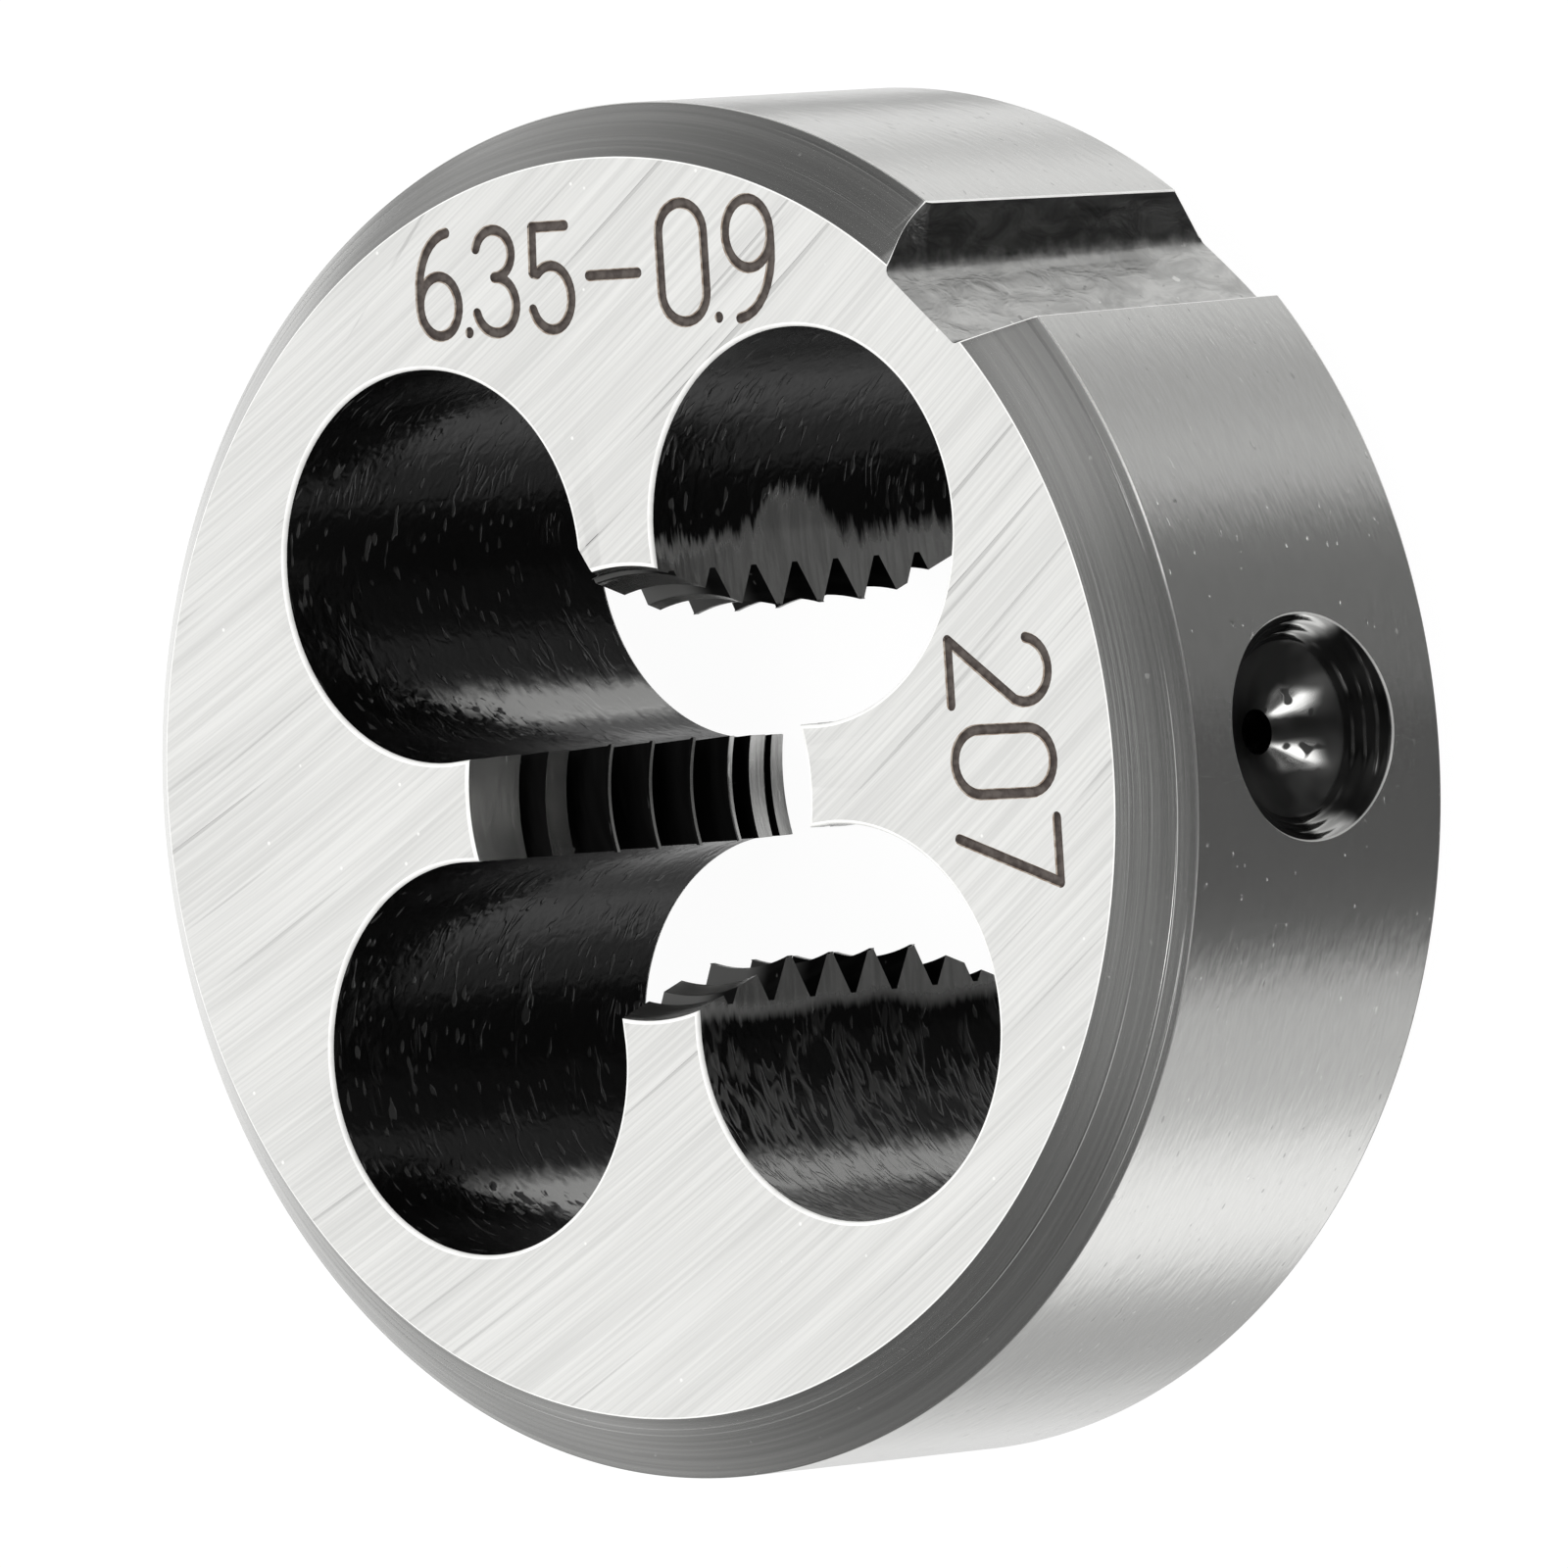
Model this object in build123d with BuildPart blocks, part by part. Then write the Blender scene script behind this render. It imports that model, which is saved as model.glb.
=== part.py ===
from build123d import *
import math
import os

# Round threading die for a quarter inch thread of 28 turns to the inch.
# It is one piece of tool steel and lies on its back face, which is at Z = 0, with its axis on Z.
# The front face is up. Four flutes break the thread into four lands, which point along X and Y.
# Sizes are in millimetres and degrees.

# Body
outside_diameter = 20.0
thickness = 7.0
chamfer_width = 0.85
front_chamfer_height = 0.75
back_chamfer_height = 0.84

# Thread that the die cuts: a 60 degree form, with flats at its crests and at its roots.
# The roots are cleared, so they are a little wider than the thread.
thread_diameter = 6.35
root_clearance = 0.15
inch = 25.4
turns_per_inch = 28
thread_angle = 60.0
flat_share = 1 / 8
groove_height_on_first_land = 0.11

# Throat, the cone at each end that leads the rod in, as wide at its mouth as the roots
throat_half_angle = 18.0

# Flutes, the round holes that take the chips, and the width that grinding leaves at a land's tip
flute_count = 4
flute_diameter = 5.74
flute_circle_diameter = 10.18
first_flute_angle = 45.0
land_tip_width = 1.54

# Adjusting slot across the rim, over the wall of the first flute and a degree past its middle.
# Its depth is that at the front face, and its floor rises from there to the back face.
slot_past_flute = 1.0
slot_floor_width = 1.6
slot_depth = 0.98
slot_rise = 0.22
slot_included_angle = 60.0
slot_near_corner_radius = 0.18
slot_far_corner_radius = 0.4

# Seat in the rim for the holder's set screw, on the first land.
# It has a countersink, a drilled point and a pilot hole.
seat_above_middle = 0.1
seat_diameter = 3.58
seat_cone_angle = 90.0
drill_diameter = 2.5
drill_point_angle = 120.0
pilot_diameter = 0.66
pilot_depth = 0.5

# How far a cutter starts outside the surface that it enters, and how far round a land it reaches
run_out = 1.0
groove_run_out = 0.1
groove_arc_share = 0.8

full_turn = 360.0
rim_radius = outside_diameter / 2
face_radius = rim_radius - chamfer_width

pitch = inch / turns_per_inch
flank_slope = math.tan(math.radians(thread_angle / 2))
sharp_height = pitch / 2 / flank_slope
tooth_height = sharp_height * (1 - 2 * flat_share)
root_radius = (thread_diameter + root_clearance) / 2
crest_radius = root_radius - tooth_height
throat_depth = tooth_height / math.tan(math.radians(throat_half_angle))

land_spacing = full_turn / flute_count
first_land_angle = first_flute_angle - land_spacing / 2
groove_arc = land_spacing * groove_arc_share
groove_rise = pitch * groove_arc / full_turn
groove_mouth_radius = crest_radius - groove_run_out
groove_root_half = pitch * flat_share / 2
groove_mouth_half = groove_root_half + (root_radius - groove_mouth_radius) * flank_slope

half_spacing = math.radians(land_spacing / 2)
flute_circle_radius = flute_circle_diameter / 2
neck_along = flute_circle_radius * math.cos(half_spacing)
neck_half = flute_circle_radius * math.sin(half_spacing) - flute_diameter / 2
tip_along = crest_radius - groove_run_out
tip_half = land_tip_width / 2

slot_angle = first_flute_angle + slot_past_flute
slot_slope = math.tan(math.radians(slot_included_angle / 2))
slot_floor_radius = rim_radius - slot_depth
slot_floor_half = slot_floor_width / 2
slot_mouth_radius = rim_radius + run_out
slot_mouth_half = slot_floor_half + (slot_mouth_radius - slot_floor_radius) * slot_slope

seat_height = thickness / 2 + seat_above_middle
seat_slope = math.tan(math.radians(seat_cone_angle / 2))
drill_point_slope = math.tan(math.radians(drill_point_angle / 2))
seat_mouth_radius = seat_diameter / 2 + run_out * seat_slope
drill_radius = drill_diameter / 2
pilot_radius = pilot_diameter / 2
drill_x = rim_radius - (seat_diameter / 2 - drill_radius) / seat_slope
pilot_x = drill_x - (drill_radius - pilot_radius) / drill_point_slope
pilot_end_x = pilot_x - pilot_depth


def beside_land(along, across, side):
    # A point beside the land on one side of a flute, in a frame whose X axis runs through the flute
    x = along * math.cos(half_spacing) + across * math.sin(half_spacing)
    y = along * math.sin(half_spacing) - across * math.cos(half_spacing)
    return (x, side * y)


def groove_place(land, turn):
    # The cutter's middle comes to the middle of the land, at the height that a right-hand thread has there
    land_turn = land / flute_count
    height = groove_height_on_first_land + pitch * (turn + land_turn) - groove_rise / 2
    angle = first_land_angle + full_turn * land_turn - groove_arc / 2
    return Location((0, 0, height), (0, 0, angle))


# Cutter for one turn of the thread on one land
with BuildPart() as groove:
    with BuildLine() as groove_path:
        Helix(pitch=pitch, height=groove_rise, radius=root_radius)
    with BuildSketch(Plane.XZ):
        with BuildLine():
            Polyline(
                (groove_mouth_radius, -groove_mouth_half),
                (root_radius, -groove_root_half),
                (root_radius, groove_root_half),
                (groove_mouth_radius, groove_mouth_half),
                close=True,
            )
        make_face()
    sweep(path=groove_path.line, is_frenet=True)

with BuildPart() as die:
    # Turned disc, chamfered all round on both faces
    with BuildSketch(Plane.XZ):
        with BuildLine():
            Polyline(
                (0, 0),
                (face_radius, 0),
                (rim_radius, back_chamfer_height),
                (rim_radius, thickness - front_chamfer_height),
                (face_radius, thickness),
                (0, thickness),
                close=True,
            )
        make_face()
    revolve(axis=Axis.Z)

    # Bore at the thread's crests, which opens into a throat at each face
    with BuildSketch(Plane.XZ):
        with BuildLine():
            Polyline(
                (0, 0),
                (root_radius, 0),
                (crest_radius, throat_depth),
                (crest_radius, thickness - throat_depth),
                (root_radius, thickness),
                (0, thickness),
                close=True,
            )
        make_face()
    revolve(axis=Axis.Z, mode=Mode.SUBTRACT)

    # Flutes, and the straight faces that are ground on the lands from the neck to the tip
    with BuildSketch():
        with PolarLocations(flute_circle_radius, flute_count, start_angle=first_flute_angle):
            Circle(flute_diameter / 2)
        with PolarLocations(0, flute_count, start_angle=first_flute_angle):
            Polygon(
                beside_land(neck_along, neck_half, -1),
                beside_land(tip_along, tip_half, -1),
                beside_land(tip_along, tip_half, 1),
                beside_land(neck_along, neck_half, 1),
                align=None,
            )
    extrude(amount=thickness, mode=Mode.SUBTRACT)

    # Thread grooves, cut turn by turn into each land
    turns = range(math.ceil(thickness / pitch) + 1)
    with Locations(*[groove_place(land, turn) for land in range(flute_count) for turn in turns]):
        add(groove.part, mode=Mode.SUBTRACT)

    # Adjusting slot, one section from the back face to the front face, along the rising floor.
    # The far corner is the one away from the first land.
    slot_direction = Vector(1, 0, 0).rotate(Axis.Z, slot_angle)
    slot_back = Plane(origin=slot_direction * slot_rise, x_dir=slot_direction, z_dir=(0, 0, 1))
    slot_run = Vector(0, 0, thickness) - slot_direction * slot_rise
    with BuildSketch(slot_back) as slot_profile:
        with BuildLine():
            Polyline(
                (slot_mouth_radius, -slot_mouth_half),
                (slot_floor_radius, -slot_floor_half),
                (slot_floor_radius, slot_floor_half),
                (slot_mouth_radius, slot_mouth_half),
                close=True,
            )
        make_face()
        near_corner = (slot_floor_radius, -slot_floor_half)
        far_corner = (slot_floor_radius, slot_floor_half)
        fillet(slot_profile.vertices().sort_by_distance(near_corner)[0], radius=slot_near_corner_radius)
        fillet(slot_profile.vertices().sort_by_distance(far_corner)[0], radius=slot_far_corner_radius)
    extrude(amount=slot_run.length, dir=slot_run, mode=Mode.SUBTRACT)

    # Set screw seat, a cutter turned about the line that runs straight in from the rim
    seat_plane = Plane(
        origin=(0, 0, seat_height),
        x_dir=Vector(1, 0, 0).rotate(Axis.Z, first_land_angle),
        z_dir=Vector(0, -1, 0).rotate(Axis.Z, first_land_angle),
    )
    with BuildSketch(seat_plane):
        with BuildLine():
            Polyline(
                (rim_radius + run_out, 0),
                (rim_radius + run_out, seat_mouth_radius),
                (drill_x, drill_radius),
                (pilot_x, pilot_radius),
                (pilot_end_x, pilot_radius),
                (pilot_end_x, 0),
                close=True,
            )
        make_face()
    revolve(axis=Axis(seat_plane.origin, seat_plane.x_dir), mode=Mode.SUBTRACT)

die.part.label = "die"
os.makedirs("parts", exist_ok=True)
export_step(die.part, "parts/die.step")
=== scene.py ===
from math import cos, pi, radians, sin, sqrt, tan

import bmesh
import bpy
from mathutils import Matrix, Vector


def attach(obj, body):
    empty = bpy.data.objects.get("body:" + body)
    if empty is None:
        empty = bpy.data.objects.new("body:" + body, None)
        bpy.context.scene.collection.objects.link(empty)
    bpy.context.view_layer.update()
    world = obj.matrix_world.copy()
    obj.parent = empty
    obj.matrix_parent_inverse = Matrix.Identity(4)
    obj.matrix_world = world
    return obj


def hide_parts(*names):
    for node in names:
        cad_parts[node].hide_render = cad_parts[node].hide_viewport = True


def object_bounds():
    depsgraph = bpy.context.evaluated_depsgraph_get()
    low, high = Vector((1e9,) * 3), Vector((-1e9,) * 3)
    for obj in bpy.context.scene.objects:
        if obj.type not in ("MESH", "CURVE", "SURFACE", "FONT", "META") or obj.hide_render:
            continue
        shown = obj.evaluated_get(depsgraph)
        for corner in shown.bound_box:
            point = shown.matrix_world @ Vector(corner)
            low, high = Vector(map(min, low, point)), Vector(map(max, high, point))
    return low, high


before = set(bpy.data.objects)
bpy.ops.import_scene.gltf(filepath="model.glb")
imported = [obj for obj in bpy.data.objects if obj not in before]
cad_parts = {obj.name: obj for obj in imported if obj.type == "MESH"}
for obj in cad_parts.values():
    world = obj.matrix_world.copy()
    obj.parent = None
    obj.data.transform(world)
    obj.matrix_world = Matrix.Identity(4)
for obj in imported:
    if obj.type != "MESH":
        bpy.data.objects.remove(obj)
cadLow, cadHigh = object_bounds()

# Everything is shaped in millimetres, and the finished die is scaled down to metres
millimetre = 0.001
rimRadius = min(-cadLow.x, -cadLow.y, cadHigh.x, cadHigh.y) / millimetre
thickness = (cadHigh.z - cadLow.z) / millimetre
runOut = 0.5  # How far a cutter starts outside the face that it enters
print("frame loaded, radius", round(rimRadius, 3), "thickness", round(thickness, 3))


class Wire:
    # A shader socket, so that an expression on it adds the Math nodes it needs

    def __init__(self, tree, socket=None):
        self.tree = tree
        self.socket = socket

    def node(self, kind, settings=(), inputs=(), output=0):
        # Any other node: its settings first, then the values or links of its sockets
        made = self.tree.nodes.new(kind)
        for name, value in dict(settings).items():
            setattr(made, name, value)
        for name, value in dict(inputs).items():
            if isinstance(value, Wire):
                self.tree.links.new(value.socket, made.inputs[name])
            else:
                made.inputs[name].default_value = value
        return Wire(self.tree, made.outputs[output] if made.outputs else None)

    def math(self, operation, *values):
        return self.node("ShaderNodeMath", {"operation": operation}, dict(enumerate(values)))

    def __add__(self, other):
        return self.math("ADD", self, other)

    def __radd__(self, other):
        return self.math("ADD", other, self)

    def __sub__(self, other):
        return self.math("SUBTRACT", self, other)

    def __rsub__(self, other):
        return self.math("SUBTRACT", other, self)

    def __mul__(self, other):
        return self.math("MULTIPLY", self, other)

    def __rmul__(self, other):
        return self.math("MULTIPLY", other, self)

    def __truediv__(self, other):
        return self.math("DIVIDE", self, other)

    def above(self, start, end):
        # 0 below start and 1 above end, smooth between them
        settings = {"interpolation_type": "SMOOTHSTEP"}
        return self.node("ShaderNodeMapRange", settings, {0: self, 1: start, 2: end, 3: 0.0, 4: 1.0})

    def absolute(self):
        return self.math("ABSOLUTE", self)

    def fraction(self):
        return self.math("FRACT", self)

    def vector(self, operation, other=(0, 0, 0), output=0):
        return self.node("ShaderNodeVectorMath", {"operation": operation}, {0: self, 1: other}, output)

    def stretched(self, scale):
        return self.vector("MULTIPLY", scale)

    def minus(self, other):
        return self.vector("SUBTRACT", other)

    def flat(self):
        return self.stretched((1, 1, 0))

    def length(self):
        return self.vector("LENGTH", output="Value")

    def part(self, axis):
        return self.node("ShaderNodeSeparateXYZ", {}, {0: self}, axis)

    def joined(self, x, y, z):
        return self.node("ShaderNodeCombineXYZ", {}, {0: x, 1: y, 2: z})

    def turned(self, angle):
        return self.node("ShaderNodeMapping", {}, {"Vector": self, "Rotation": (0, 0, angle)})

    def noise(self, scale=1.0, detail=2.0, roughness=0.5, distortion=0.0):
        inputs = {"Scale": scale, "Detail": detail, "Roughness": roughness, "Distortion": distortion}
        return self.node("ShaderNodeTexNoise", {}, {"Vector": self, **inputs})

    def mixed(self, first, second):
        # self is the share of the second colour
        return self.node("ShaderNodeMix", {"data_type": "RGBA"}, {0: self, 6: first, 7: second}, 2)


def linear(grey):
    # A grey as it shows on the screen, as the amount of light it stands for
    return ((grey + 0.055) / 1.055) ** 2.4 if grey > 0.04045 else grey / 12.92


def colour(red, green, blue):
    return (linear(red), linear(green), linear(blue), 1)


def steel(grey):
    return colour(grey, grey, grey * 0.99)


def newFinish(name, metallic, roughness, **constants):
    # A material with its shader's constants, the places on the object in millimetres, and a way to connect the rest
    material = bpy.data.materials.new(name)
    material.use_nodes = True
    tree = material.node_tree
    shader = tree.nodes["Principled BSDF"]
    shader.inputs["Metallic"].default_value = metallic
    shader.inputs["Roughness"].default_value = roughness
    for socket, value in constants.items():
        shader.inputs[socket.replace("_", " ")].default_value = value
    place = Wire(tree).node("ShaderNodeTexCoord", output="Object").stretched((1 / millimetre,) * 3)

    def connect(**wires):
        for socket, wire in wires.items():
            tree.links.new(wire.socket, shader.inputs[socket.replace("_", " ")])

    return material, place, connect


def bump(height, distance):
    # distance is the height of the relief in millimetres
    inputs = {"Height": height, "Distance": distance * millimetre, "Strength": 1.0}
    return height.node("ShaderNodeBump", {}, inputs)


# In the finishes, light and dark are the greys between which the steel varies. A grain is how many times
# a millimetre the pattern repeats along X, Y and Z, and a share is how far a colour comes through.
groundFace = {
    "light": 0.92, "dark": 0.845, "scratched": 0.66, "speck": 0.99, "roughness": 0.28, "relief": 0.003,
    # The wheel's centre, far outside the face, so that its lines bend a little and run at about 30 degrees
    "wheel": (-41.5, 72.0, 0.0), "wheelRadius": 83.0,
    # Length, width and detail of the lines
    "fine": (6.0, 0.06, 3.0), "streak": (9.0, 0.5, 2.0), "scratch": (7.0, 0.11, 0.0),
    "scratchShare": 0.45, "crossingShare": 0.6, "crossingAngle": radians(-44), "crossingGrain": (0.16, 6.5, 1),
    "speckScale": 1.9,
}


def makeGroundFace(name, look=groundFace):
    material, place, connect = newFinish(name, 1.0, look["roughness"])
    around = place.minus(look["wheel"])
    x, y = around.part("X"), around.part("Y")
    along = y.math("ARCTAN2", y, x) * look["wheelRadius"]
    across = around.flat().length()

    def lines(length, width, detail):
        return place.joined(along / length, across / width, 0.0).noise(detail=detail, roughness=0.6)

    fine = lines(*look["fine"])
    streak = lines(*look["streak"])
    scratch = 1 - lines(*look["scratch"]).above(0.20, 0.28)
    crossing = place.turned(look["crossingAngle"]).stretched(look["crossingGrain"])
    crossing = 1 - crossing.noise(detail=0).above(0.13, 0.19)
    crossing = crossing * place.noise(scale=0.35, detail=1).above(0.45, 0.6)
    cells = {"Vector": place, "Scale": look["speckScale"]}
    speck = 1 - place.node("ShaderNodeTexVoronoi", {}, cells, "Distance").above(0.03, 0.07)
    speck = speck * place.node("ShaderNodeTexVoronoi", {}, cells, "Color").above(0.5, 0.55)
    tone = (fine * 0.65 + streak * 0.35).above(0.34, 0.66)
    base = tone.mixed(steel(look["dark"]), steel(look["light"]))
    scored = scratch * look["scratchShare"] + crossing * look["crossingShare"]
    base = scored.mixed(base, steel(look["scratched"]))
    base = speck.mixed(base, steel(look["speck"]))
    connect(Base_Color=base, Normal=bump(fine - scratch - crossing, look["relief"]))
    return material


turnedChamfer = {
    "light": 0.88, "dark": 0.79, "groove": 0.62, "grooveShare": 0.4, "bright": 0.99,
    "roughness": 0.27, "relief": 0.004,
    "lineGrain": (0.08, 0.08, 19), "bandGrain": (0.12, 0.12, 5), "grooveGrain": (0.10, 0.10, 26),
    "speckGrain": (5, 5, 9),
    # Painted sheen on the -X side: bright all over up to the first of these places along X, and no longer past the
    # second
    "paintedSheenEnd": (-9.6, -7.2),
}


def makeTurnedChamfer(name, look=turnedChamfer):
    material, place, connect = newFinish(name, 1.0, look["roughness"])
    line = place.stretched(look["lineGrain"]).noise(detail=3, roughness=0.7)
    band = place.stretched(look["bandGrain"]).noise(detail=1)
    groove = 1 - place.stretched(look["grooveGrain"]).noise(detail=0).above(0.2, 0.32)
    speck = place.stretched(look["speckGrain"]).noise(detail=1).above(0.76, 0.82)
    tone = (line * 0.65 + band * 0.35).above(0.32, 0.68)
    base = tone.mixed(steel(look["dark"]), steel(look["light"]))
    base = (groove * look["grooveShare"]).mixed(base, steel(look["groove"]))
    base = speck.mixed(base, steel(look["bright"]))
    # Painted sheen: the chamfer is made lighter towards -X, where it mirrors the bright backdrop
    base = (1 - place.part("X").above(*look["paintedSheenEnd"])).mixed(base, steel(look["bright"]))
    connect(Base_Color=base, Normal=bump(line - groove, look["relief"]))
    return material


groundRim = {
    "light": 0.90, "dark": 0.88, "pit": 0.76, "pitShare": 0.6, "speck": 0.98, "speckShare": 0.7,
    "roughness": 0.21, "relief": 0.0012,
    "dashGrain": (2.6, 2.6, 19), "spotGrain": (4, 4, 12), "waveGrain": (0.9, 0.9, 1.6), "dentGrain": (3, 3, 9),
    # Heights against that of the dashes
    "waveHeight": 4, "dentHeight": 3, "spotHeight": 2,
}


def makeGroundRim(name, look=groundRim):
    material, place, connect = newFinish(name, 1.0, look["roughness"])
    dash = place.stretched(look["dashGrain"]).noise(detail=2, roughness=0.6)
    spots = place.stretched(look["spotGrain"]).noise(detail=1)
    wave = place.stretched(look["waveGrain"]).noise(detail=1)
    dent = place.stretched(look["dentGrain"]).noise(detail=1)
    pit = 1 - spots.above(0.22, 0.27)
    speck = spots.above(0.75, 0.79)
    base = dash.above(0.3, 0.7).mixed(steel(look["dark"]), steel(look["light"]))
    base = (pit * look["pitShare"]).mixed(base, steel(look["pit"]))
    base = (speck * look["speckShare"]).mixed(base, steel(look["speck"]))
    relief = dash + wave * look["waveHeight"] + dent * look["dentHeight"] + (speck - pit) * look["spotHeight"]
    connect(Base_Color=base, Normal=bump(relief, look["relief"]))
    return material


turnedEdge = {"light": 0.98, "dark": 0.60, "metallic": 0.85, "roughness": 0.4, "grain": (2, 2, 6)}


def makeTurnedEdge(name, look=turnedEdge):
    # Lighter in random patches, and lighter towards +Y as a painted highlight on that side
    material, place, connect = newFinish(name, look["metallic"], look["roughness"])
    worn = place.stretched(look["grain"]).noise(detail=2) * 0.6 + place.part("Y") * 0.2
    connect(Base_Color=worn.above(0.5, 1.1).mixed(steel(look["dark"]), steel(look["light"])))
    return material


# Painted highlight on every rounded edge and lip of the die
brightEdge = {"light": 0.995, "dark": 0.95, "roughness": 0.5, "scale": 3}


def makePaintedHighlightEdge(name, look=brightEdge):
    # Broken edges in pale matte colour, lighter in random patches: a painted highlight for the light that they
    # catch from every side
    material, place, connect = newFinish(name, 0.0, look["roughness"])
    worn = place.noise(scale=look["scale"], detail=2)
    connect(Base_Color=worn.above(0.3, 0.6).mixed(steel(look["dark"]), steel(look["light"])))
    return material


blackened = {
    "dark": 0.04, "speck": 0.26, "ridge": 0.42, "roughness": 0.19, "ior": 1.25, "relief": 0.010,
    # Winding ripple and where its ridges stand out, dashes and waves, and the patches and streaks of grinding
    "patchGrain": (0.5, 0.5, 0.9), "wormGrain": (1.3, 1.3, 4.5), "ridgeGrain": (1.1, 1.1, 1.6),
    "dashGrain": (3.2, 3.2, 9), "waveGrain": (0.8, 0.8, 1.2), "streakGrain": (0.9, 0.9, 8), "grainScale": 5,
    # Distance from the axis up to which grinding left bright metal, less far on the land towards -Y
    "ground": 3.46, "groundSlope": 0.037, "groundFade": 0.2, "metalRoughness": 0.27,
    "metalDark": 0.74, "metalLight": 0.84,
    # On the land towards +Y it reaches further at this height
    "hump": 3.9, "humpHeight": 0.6, "humpFrom": (2, 3),
    # The walls of the flutes that face this way get a painted reflection, a band of paler metal
    "paintedReflectionFacing": radians(47.5), "paintedReflectionGrey": 0.62,
    # Outwards from the middle through the fourth flute, whose wall is the most rippled and has a bare lower end
    "rippled": (0.707, -0.707, 0.0), "bare": -6.0, "bareFade": 0.1, "bareGrey": 0.50,
}


def makeBlackened(name, look=blackened):
    material, place, connect = newFinish(name, 0.0, look["roughness"], IOR=look["ior"])
    x, y, height = place.part("X"), place.part("Y"), place.part("Z")
    rippled = place.vector("DOT_PRODUCT", look["rippled"], "Value").above(2.5, 4.5)
    patch = place.stretched(look["patchGrain"]).noise(detail=0)
    worm = place.stretched(look["wormGrain"]).noise(detail=1, distortion=0.9)
    ridge = 1 - (worm - 0.5).absolute().above(0.01, 0.11)
    ridge = ridge * (place.stretched(look["ridgeGrain"]).noise(detail=0) + rippled * 0.4).above(0.58, 0.68)
    grain = place.noise(scale=look["grainScale"], detail=1, distortion=0.5)
    dash = place.stretched(look["dashGrain"]).noise(detail=0).above(0.70, 0.78)
    wave = place.stretched(look["waveGrain"]).noise(detail=1)
    streak = place.stretched(look["streakGrain"]).noise(detail=3, roughness=0.6)

    # Ground steel near the lands' teeth, with a ragged border
    towardsHump = y.above(*look["humpFrom"])
    hump = (1 - (height - look["hump"]).absolute().above(0.2, 1.1)) * towardsHump * look["humpHeight"]
    ragged = (streak - 0.5) * (0.3 + towardsHump * 0.6) - (patch - 0.5) * 0.6
    reach = place.flat().length() + ragged - y * look["groundSlope"] - hump
    ground = 1 - reach.above(look["ground"] - look["groundFade"], look["ground"] + look["groundFade"])

    # Half of each crest's flat is painted black too, as painted shade, like the blackened flanks
    turns = (height - thread["heightOnFirstLand"]) / thread["pitch"] - y.math("ARCTAN2", y, x) / (2 * pi)
    onCrest = 1 - place.flat().length().above(thread["crestRadius"] + 0.01, thread["crestRadius"] + 0.04)
    ground = ground * (1 - onCrest * turns.fraction().above(0.49, 0.51))

    # Painted reflection: the flute walls that face one way turn paler and metallic
    normal = place.node("ShaderNodeTexCoord", output="Normal")
    sideways = normal.vector("DOT_PRODUCT", (-sin(look["paintedReflectionFacing"]), cos(look["paintedReflectionFacing"]), 0), "Value")
    facing = normal.vector("DOT_PRODUCT", (cos(look["paintedReflectionFacing"]), sin(look["paintedReflectionFacing"]), 0), "Value")
    offset = (sideways + (grain - 0.5) * 0.12 + (worm - 0.5) * 0.1).absolute()
    paintedReflection = (1 - offset.above(0.06, 0.24)) * facing.above(0.5, 0.8)
    # In the flutes towards -X the painted reflection ends with a ragged border before the front face, where painted
    # shade takes over
    border = (height + sideways * 4.5 + (grain - 0.5) * 3.5 + (worm - 0.5) * 2).above(4.0, 4.5)
    paintedReflection = paintedReflection * (1 - border * (1 - x.above(-0.5, 0.5)))

    bare = (y + (grain - 0.5) * 0.4).above(look["bare"] - look["bareFade"], look["bare"] + look["bareFade"])
    bare = (1 - bare) * rippled

    base = bare.mixed(steel(look["dark"]), steel(look["bareGrey"]))
    base = (dash * 0.8 + ridge * (0.1 + rippled * 0.7)).mixed(base, steel(look["speck"]))
    base = (ridge * rippled * 0.6).mixed(base, steel(look["ridge"]))
    base = paintedReflection.mixed(base, steel(look["paintedReflectionGrey"]))
    metal = streak.above(0.3, 0.7).mixed(steel(look["metalDark"]), steel(look["metalLight"]))
    relief = ridge * (0.6 + rippled * 0.6) + dash * 0.8 + (wave - 0.5) * 1.2 + (grain - 0.5)
    relief = relief * (1 - ground * 0.85) * (1 - paintedReflection * 0.5) + streak * ground * 0.3
    smooth = ground.math("MAXIMUM", ground, paintedReflection * 0.6)
    connect(Base_Color=ground.mixed(base, metal),
            Metallic=ground.math("MAXIMUM", ground, paintedReflection),
            Roughness=look["roughness"] + smooth * (look["metalRoughness"] - look["roughness"]),
            Normal=bump(relief, look["relief"]))
    return material


threadFlank = {
    "light": 0.05, "dark": 0.01, "speck": 0.4, "speckShare": 0.4, "roughness": 0.3, "ior": 1.12, "relief": 0.004,
    "lineGrain": (0.8, 0.8, 12), "speckScale": 5,
    # The lit flanks are those away from the die's middle along Y, on its -X side and near the front face
    "lit": 0.34, "litAside": (1.5, 2.5), "litUpTo": (-0.1, 0.5), "litFrom": (3.0, 5.5),
}


def makeThreadFlank(name, look=threadFlank):
    material, place, connect = newFinish(name, 0.0, look["roughness"], IOR=look["ior"])
    line = place.stretched(look["lineGrain"]).noise(detail=2)
    speck = place.noise(scale=look["speckScale"], detail=1).above(0.74, 0.79)
    lit = place.part("Y").absolute().above(*look["litAside"])
    lit = lit * (1 - place.part("X").above(*look["litUpTo"])) * place.part("Z").above(*look["litFrom"])
    base = line.above(0.3, 0.7).mixed(steel(look["dark"]), steel(look["light"]))
    base = lit.mixed(base, steel(look["lit"]))
    base = (speck * look["speckShare"]).mixed(base, steel(look["speck"]))
    connect(Base_Color=base, Normal=bump(line, look["relief"]))
    return material


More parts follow.
